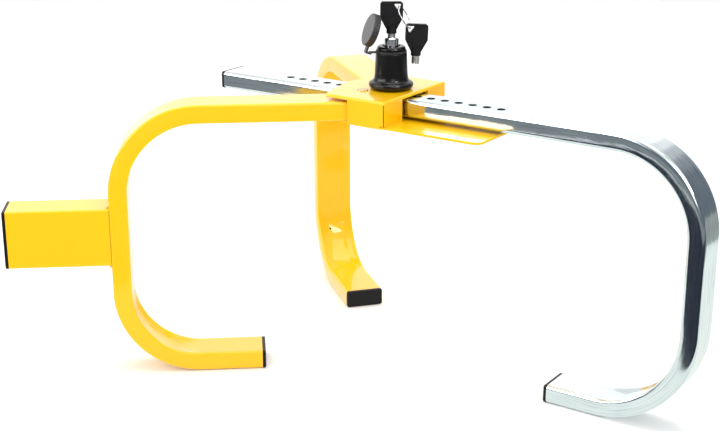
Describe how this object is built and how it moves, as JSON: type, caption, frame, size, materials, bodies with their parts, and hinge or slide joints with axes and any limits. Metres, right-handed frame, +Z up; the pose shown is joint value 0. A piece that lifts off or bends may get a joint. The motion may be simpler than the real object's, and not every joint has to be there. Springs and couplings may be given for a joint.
{
  "type": "wheel clamp",
  "caption": "Wheel clamp for a trailer: painted C-arms and an extension tube on a folded housing, a plated sliding arm with lock holes, and a push lock with keys and dust cap.",
  "frame": {"origin": "bottom centre of the bounding box, on the floor the three feet stand on", "axes": "+X along the sliding arm away from the fixed arms, +Z up toward the lock, Y across"},
  "size_m": [0.651, 0.4772, 0.3751],
  "materials": {
    "yellow_paint": "gloss powder coat",
    "zinc_plate": "bright zinc plating",
    "black_plastic": "satin moulded",
    "jacket_plastic": "semi-gloss moulded",
    "lock_chrome": "polished",
    "lock_steel": "turned",
    "key_plastic": "satin moulded",
    "cap_rubber": "matt"
  },
  "bodies": {
    "clamp": {"arm_front": "yellow_paint", "arm_rear": "yellow_paint", "extension_tube": "yellow_paint", "base_plate": "yellow_paint", "housing_cover": "yellow_paint", "weld_wall_front": "yellow_paint", "weld_wall_rear": "yellow_paint", "weld_extension_low": "yellow_paint", "weld_extension_high": "yellow_paint", "plug_weld_front": "yellow_paint", "plug_weld_rear": "yellow_paint", "foot_cap_front": "black_plastic", "foot_cap_rear": "black_plastic", "extension_cap": "black_plastic", "lock_socket": "lock_steel", "lock_jacket": "jacket_plastic", "lock_spring": "lock_steel", "travel_stop_pin": "lock_steel", "tether_ring": "cap_rubber"},
    "slider": {"sliding_arm": "zinc_plate", "foot_cap_sliding": "black_plastic", "tail_cap": "black_plastic"},
    "plunger": {"lock_core": "lock_chrome", "lock_pin": "lock_steel"},
    "tumbler": {"tumbler_plug": "lock_steel"},
    "key": {"key_head": "key_plastic", "key_barrel": "lock_chrome"},
    "ring": {"key_ring": "lock_steel"},
    "spare": {"spare_key_head": "key_plastic", "spare_key_barrel": "lock_chrome"},
    "cap": {"dust_cap": "cap_rubber", "cap_seal": "cap_rubber"}
  },
  "joints": [
    {"name": "arm_slide", "type": "slide", "parent": "clamp", "child": "slider", "axis": [1, 0, 0], "range_m": [-0.1264, 0.1264]},
    {"name": "lock_press", "type": "slide", "parent": "clamp", "child": "plunger", "axis": [0, 0, 1], "range_m": [-0.006, 0], "stiffness_N_per_m": 500, "springref_m": 0.006, "deforming": ["lock_spring"]},
    {"name": "key_turn", "type": "hinge", "parent": "plunger", "child": "tumbler", "pos_m": [-0.01952, 0.03329, 0.33], "axis": [0, 0, 1], "range_deg": [0, 90]},
    {"name": "key_pull", "type": "slide", "parent": "tumbler", "child": "key", "axis": [0, 0, 1], "range_m": [0, 0.02]},
    {"name": "ring_swing", "type": "hinge", "parent": "key", "child": "ring", "pos_m": [-0.01396, 0.03721, 0.3699], "axis": [-0.5764, 0.8171, 0], "range_deg": [-25, 0]},
    {"name": "spare_swing", "type": "hinge", "parent": "ring", "child": "spare", "pos_m": [-0.00391, 0.0443, 0.3489], "axis": [-0.5764, 0.8171, 0], "range_deg": [-30, 0]},
    {"name": "cap_open", "type": "hinge", "parent": "clamp", "child": "cap", "pos_m": [-0.03418, 0.01636, 0.3242], "axis": [0.7559, -0.6547, 0], "range_deg": [0, 95]}
  ]
}
